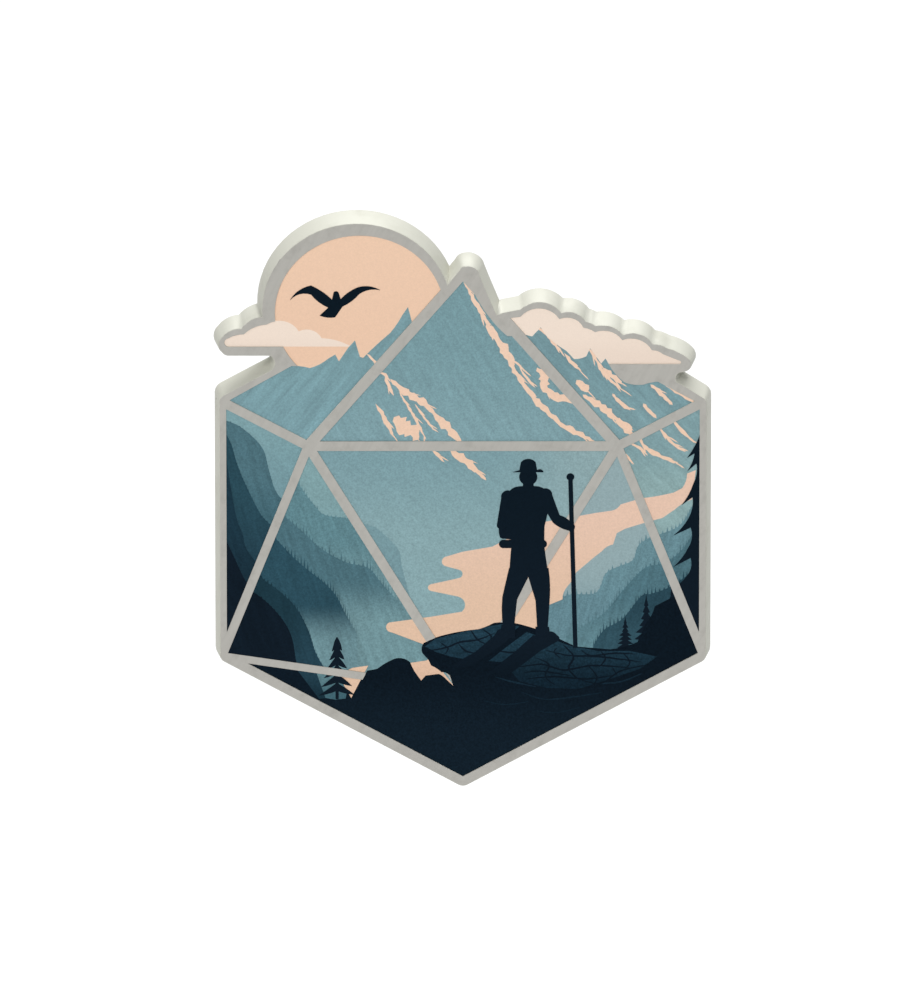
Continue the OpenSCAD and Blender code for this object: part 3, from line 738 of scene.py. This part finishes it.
left_hill("left_slope_far", "left_slope_cell", 1,
          [(-19.5, 9.7), (-18, 9), (-16.3, 7.2), (-15.7, 5), (-15, 3), (-13, 1)],
          STEEL_BLUE, (64, 98, 109), 0, 6, 0.1)
left_hill("left_slope_middle", "left_slope_cell", 2,
          [(-19.4, 8.8), (-18.8, 7.5), (-18.4, 6), (-17.8, 4.3), (-16.6, 1.6), (-15.8, 0.5), (-14, -1.5)],
          (41, 72, 84), (36, 64, 77), -3, 4, 0.15)
left_hill("left_slope_near", "left_slope_cell", 3,
          [(-19.3, 7), (-18.9, 4), (-18.4, 1), (-17.9, -0.5), (-17.5, -2), (-16, -4)],
          (28, 53, 66), (24, 46, 58), -4, 3, 0.12)
left_hill("left_slope_foot", "left_slope_cell", 4,
          [(-19.4, -0.6), (-19, -1.6), (-18.4, -3), (-17.9, -4.2), (-17, -6)], NAVY, NAVY, -8, -2, 0.1)

left_hill("valley_far_hill", "left_valley_cell", 1,
          [(-13.6, 4.6), (-13, 3.4), (-12, 2), (-11.2, 1.2), (-9.3, 0.9), (-7.5, 0.4)],
          (94, 131, 139), (110, 143, 149), -6, -0.5, 0.5, right=-2)
left_hill("valley_middle_hill", "left_valley_cell", 2,
          [(-14.6, 1.2), (-13, -0.3), (-11.5, -1.8), (-9.5, -3), (-7.7, -3.5), (-6.5, -5), (-4, -8)],
          (74, 108, 118), (110, 143, 149), -8.6, -4.2, 0.8, right=-2)
left_hill("valley_near_hill", "left_valley_cell", 3,
          [(-15.6, -0.4), (-14, -2.3), (-12.8, -3.5), (-11.3, -4.8), (-10.3, -6), (-9.6, -7.5),
           (-8.6, -9.4)],
          (42, 74, 87), (106, 139, 146), -10.4, -6.6, 0.85)
left_hill("valley_fir_slope", "left_valley_cell", 4,
          [(-16.8, -3.2), (-16.3, -4.4), (-15, -5.5), (-13.6, -7), (-12.6, -9), (-12, -11), (-11.2, -12.6)],
          (27, 53, 64), (36, 64, 77), -12, -7, 0.35)
left_hill("valley_foot", "left_valley_cell", 5,
          [(-17.6, -5.2), (-16, -6.5), (-14.6, -8.2), (-13.9, -9.8), (-13.6, -11.7), (-13.4, -12.6)],
          NAVY, NAVY, -12, -6, 0.12)
printed("lower_mist", "lower_left_cell", 1, [[(-12.5, -12), (-9, -12), (-9.6, -15.4), (-11.2, -15.1)]],
        film("lower_mist_ink", (62, 96, 107), (96, 130, 137), -15, -12.6, 0.07, -72, 0.12,
             gloss=DARK_GLOSS))
printed("lower_slope", "lower_left_cell", 2, [[(-13.9, -12), (-12.2, -12), (-11.2, -15.1), (-11.7, -15.2)]],
        film("lower_slope_ink", (24, 48, 60), (34, 62, 75), -15, -12.6, 0.07, -72, 0.12, gloss=DARK_GLOSS))

# %% Hills in the middle and on the right
printed("centre_hill", "centre_valley_cell", 1,
        [tree_line([(-9.5, 1.6), (-8, 0.4), (-7, 0), (-5.3, -1.8), (-5, -3.2), (-4.6, -5), (-3.8, -8)], 0.2)
         + [(-3.8, -12), (-10, -12)]],
        film("centre_hill_ink", (112, 143, 151), (116, 149, 156), -9, -1, 0.06))

FAR_RIGHT, FOOT_RIGHT = 21, -13


def right_hill(name, cell, layer, skyline, colour, foot_colour, foot_z, clear_z, tall):
    outline = tree_line(skyline, tall) + [(FAR_RIGHT, skyline[-1][1]), (FAR_RIGHT, FOOT_RIGHT),
                                          (skyline[0][0], FOOT_RIGHT)]
    material = film(name + "_ink", foot_colour, colour, foot_z, clear_z, 0.07, 76, 0.16, gloss=DARK_GLOSS)
    return printed(name, cell, layer, [outline], material)


FAR_SKYLINE = [(6, -7.6), (7, -6.8), (8.6, -5.9), (10.8, -5.7), (11.6, -4), (12.6, -3.4), (13.8, -2.8),
               (14.2, -1.6), (15, -0.9), (17.5, 0.2), (18.6, 2)]
MIDDLE_SKYLINE = [(8.4, -9.6), (9.6, -8.8), (11.5, -7.5), (13, -5.5), (14.8, -3.5), (16.5, -3),
                  (18, -1.6), (19.4, 1)]
NEAR_SKYLINE = [(10.6, -10.4), (11.5, -9), (13, -8), (14.5, -6), (15.3, -5.8), (16.8, -5.2),
                (18.4, -4), (19.4, -3)]
for cell, reach in (("right_valley_cell", "valley"), ("right_slope_cell", "slope")):
    right_hill(f"right_{reach}_far", cell, 1, FAR_SKYLINE, (100, 134, 143), (98, 132, 142), -8, -3, 0.5)
    right_hill(f"right_{reach}_middle", cell, 2, MIDDLE_SKYLINE, (76, 110, 120), (92, 127, 136),
               -9.5, -6, 0.8)
    right_hill(f"right_{reach}_near", cell, 3, NEAR_SKYLINE, (40, 68, 80), (48, 78, 90), -10, -6.5, 0.75)
printed("right_firs", "right_valley_cell", 4,
        [fir(x, foot, height, width, 8) for x, foot, height, width in
         ((13.2, -11.2, 3.4, 1.9), (14.9, -11.4, 5.6, 2.6), (17, -10.8, 6, 2.6))], ink)

# %% [markdown]
# ### Snow
#
# The evening light catches the snow on the right of every ridge, in long torn strokes that follow
# the slope. The strokes of one cell are one piece, as they would be one pass of the printing screen.

# %% Snow on the mountains
snow = film("snow_ink", SNOW, (236, 203, 180), 4, 18, 0.02)


def wisps(points, width):
    """Thin side strokes that leave a broad one along its slope."""
    line = smooth_line(points, 0.5)
    made = []
    for start, onward in zip(line[1:], line[2:]):
        if lot.random() > 0.55:
            continue
        heading = (onward - start).normalized()
        turn = math.radians(lot.choice((-1, 1, 1)) * lot.uniform(6, 20))
        away = Vector((heading.x * math.cos(turn) - heading.y * math.sin(turn),
                       heading.x * math.sin(turn) + heading.y * math.cos(turn)))
        length = lot.uniform(0.5, 1.1) + width * 0.8
        made.append(streak([start, start + away * length * 0.5, start + away * length], 0.11, 0.4))
    return made


def snowfall(name, cell, strokes, layer=1):
    drawn = []
    for width, points in strokes:
        drawn += [streak(points, width * 0.8, 0.5), *wisps(points, width)]
    return printed(name, cell, layer, drawn, snow)


snowfall("left_ridge_snow", "left_ridge_cell", [(0.3, [(-7.8, 15.5), (-7.2, 14.9), (-6.8, 14.3)])])
snowfall("peak_snow_left", "peak_cell", [
    (0.34, [(-7, 13.9), (-6.3, 13.7), (-6.1, 12.9), (-5.6, 11.8)]),
    (0.7, [(-5.9, 13.3), (-4.6, 12.1), (-3.2, 11.2), (-2.3, 10.2)]),
    (0.85, [(-2.6, 10.5), (-1.6, 9.4), (-0.9, 8.6), (-0.1, 7.7)]),
    (0.42, [(-7.1, 11.1), (-6.6, 10.3), (-6.1, 9.3), (-5.6, 8.1)]),
    (1.5, [(-5.6, 9.9), (-4.9, 9.2), (-4.2, 8.7), (-3.6, 7.9)]),
    (0.3, [(-5.2, 12.2), (-4.3, 10.6), (-3.6, 9.2), (-3, 7.9)]),
    (0.22, [(-3.9, 11.1), (-3.1, 9.8), (-2.3, 8.7)])])
snowfall("peak_snow_right", "peak_cell", [
    (0.42, [(0, 22.2), (0.6, 20.9), (1.4, 19.3), (2.4, 17.4)]),
    (0.95, [(1.9, 18.2), (2.7, 16.9), (3.5, 15.6), (4.2, 14.5)]),
    (0.5, [(3.4, 15.9), (4.2, 14), (4.9, 12.9), (5.7, 11.6)]),
    (0.62, [(5, 12.8), (5.8, 11.5), (6.7, 10.6), (7.4, 9.7)]),
    (0.6, [(6.6, 10.7), (8, 9.2), (9.1, 8.6), (10.8, 7.6)]),
    (0.9, [(6, 14.3), (6.6, 13.4), (6.6, 12.6), (7.4, 11.9)]),
    (0.75, [(6.7, 12.3), (7.5, 11.7), (8.4, 11.5), (9.3, 11.2)]),
    (0.2, [(3.9, 15), (4.5, 14.6), (5, 13.9)]),
    (0.22, [(4.6, 14.2), (5.3, 13.2), (5.9, 12.5)])])
snowfall("right_ridge_snow", "right_ridge_cell", [
    (0.8, [(9.2, 13.2), (9.7, 12.7), (10.1, 12.1)]),
    (0.75, [(9.7, 11.9), (10.9, 11.1), (12, 10.2), (12.7, 9.5)]),
    (0.8, [(12.4, 9.8), (13, 9.2), (13.9, 8.1)]),
    (0.3, [(5.8, 18), (6.8, 17.2), (7.4, 16.4), (8.1, 15.6)]),
    (0.36, [(8.2, 15.6), (8.9, 14.6), (9.6, 14)]),
    (0.36, [(10.2, 16), (10.8, 15), (11.3, 14), (11.9, 13.3), (12.9, 12.3)]),
    (0.55, [(11.3, 14.3), (12, 13.6), (12.9, 12.8)]),
    (0.4, [(12.1, 12), (12.7, 11.2), (13.6, 10.5)]),
    (0.5, [(15.2, 12.8), (16.1, 12), (17, 11)]),
    (0.36, [(16, 13.2), (17.3, 12.2), (18.8, 11.2)]),
    (0.4, [(14.6, 11.1), (15.1, 10.5), (15.7, 9.8)]),
    (0.24, [(9, 12), (9.7, 10.6), (10.4, 9.6)])])
snowfall("right_slope_snow", "right_slope_cell", [
    (0.34, [(17, 9.7), (17.7, 8.8), (18.8, 7.6)]),
    (0.3, [(15.9, 9), (17, 7.6), (18.1, 6.8)]),
    (0.4, [(14.3, 8.3), (14.8, 7.2), (16.3, 6.3), (17.5, 5.8)]),
    (0.22, [(12.9, 6.9), (13.4, 6.3), (13.9, 5.7)]),
    (0.24, [(13.4, 7.7), (14.3, 7.2), (15, 6.5)])])
snowfall("valley_snow", "centre_valley_cell", [
    (0.24, [(-2.6, 7.2), (-2.1, 6.6), (-1.5, 5.9)]),
    (0.8, [(-1.1, 7.1), (-0.2, 6.4), (0.5, 5.8), (1.2, 5)]),
    (0.36, [(0.4, 5.9), (1.2, 5), (1.9, 4.3)])], layer=2)

# %% [markdown]
# ### The rock
#
# Low light from the right picks out the top of the ledge. Its slabs are a shade lighter than the
# rest, with dark cracks drawn across them, and the figure throws two long shadows toward us.

# %% Slabs, cracks and shadows on the rock
slab = film("slab_ink", (14, 32, 44), (30, 56, 70), -14, -9.2, 0.14, 8, 0.2, gloss=DARK_GLOSS)
shade = film("shade_ink", (9, 21, 31), NAVY, -14, -9, 0.05, gloss=DARK_GLOSS)
printed("rock_slabs", "rock_ledge", 1, [
    [(-3.1, -10.5), (-2.2, -9.8), (0, -9.2), (1.6, -8.8), (3.2, -8.5), (4.6, -8.7), (3.6, -9.6),
     (1.8, -10.9), (0.4, -11.7), (-1, -11.4), (-2.2, -11)],
    [(5.2, -9.2), (6.2, -9.6), (4.9, -10.6), (3.3, -11.9), (2.1, -11.8), (3.6, -10.5)],
    [(7.4, -9.9), (8.6, -10.4), (11, -10.9), (13.6, -10.9), (15.8, -11.4), (14.4, -12.5),
     (12, -13.4), (9.4, -14.3), (6.8, -14.2), (4.6, -13.6), (3.9, -12.7), (5, -11.7), (6.3, -10.7)]], slab)
cracks = [
    (0.16, [(-2.9, -10.9), (-1.4, -10.6), (-0.2, -10.1), (1.2, -9.9), (2.6, -9.3)]),
    (0.14, [(-0.4, -10.2), (0.2, -10.9), (1.1, -11.1)]),
    (0.13, [(0.6, -9), (1.2, -9.9), (1.9, -10.3)]),
    (0.15, [(2.9, -10.9), (4.2, -11), (5.2, -10.3)]),
    (0.16, [(4.2, -12.4), (6.4, -12.1), (8.2, -12.6), (10.6, -12.2), (13.6, -12.4)]),
    (0.15, [(6.6, -10.8), (8.6, -11.3), (11, -11.4), (14.6, -11.9)]),
    (0.15, [(8.1, -10.3), (9, -11.4), (8.6, -12.5), (9.6, -13.6)]),
    (0.14, [(11.2, -10.9), (11.6, -11.6), (11, -12.4)]),
    (0.15, [(5.2, -13.4), (7.4, -13.2), (10, -13.4), (12.2, -13.1)]),
    (0.12, [(13, -11), (13.6, -11.9), (13.2, -12.5)]),
    (0.13, [(9.6, -10.8), (10.4, -11.3), (12.4, -11.1), (14.2, -11.2)]),
    (0.12, [(5.9, -11.5), (7, -12.1), (6.7, -13.2), (7.6, -14)]),
    (0.12, [(9.4, -13.4), (11.2, -13.8), (12.8, -12.7), (15.2, -12.1)]),
    (0.14, [(10.2, -12.2), (10.9, -13.2), (10.6, -14)]),
    (0.11, [(12.1, -12.3), (12.6, -13.1)]),
    (0.12, [(7.7, -10.6), (7.4, -11), (8, -11.6)]),
    (0.12, [(-1.9, -10.1), (-1.2, -10.7), (-1.5, -11.2)]),
    (0.11, [(1.5, -8.9), (2.3, -9.6), (2, -10.4)]),
    (0.12, [(4.8, -12.9), (6.2, -12.7), (8.8, -13.1)])]
printed("rock_cracks", "rock_ledge", 2, [streak(points, width, 0.3) for width, points in cracks], shade)
glints = [
    (0.12, [(4.6, -14.5), (6.6, -15.2), (9, -15), (11.4, -14.6)]),
    (0.14, [(2.6, -13.2), (4.2, -13.7), (6, -14.1)]),
    (0.12, [(1.6, -15.3), (3.4, -15.7), (5.4, -15.4)]),
    (0.12, [(10.2, -13.8), (12.6, -13.7), (14.6, -12.9)]),
    (0.1, [(5.6, -16.2), (7.6, -16.4), (9.6, -15.9)])]
printed("rock_glints", "rock_ledge", 1, [streak(points, width, 0.4) for width, points in glints],
        film("glint_ink", (16, 33, 45), (20, 40, 53), -16, -13, 0.08, gloss=DARK_GLOSS))
printed("long_shadows", "rock_ledge", 3, [
    [(2.9, -9.2), (4.3, -9.2), (3.4, -10.2), (1.6, -11.6), (0.2, -12.4), (-1, -12.2), (1, -11)],
    [(5.7, -9.5), (7.9, -9.9), (6.3, -10.9), (4.5, -12.4), (3.4, -13.2), (2.2, -12.7), (4.2, -11)]], shade)
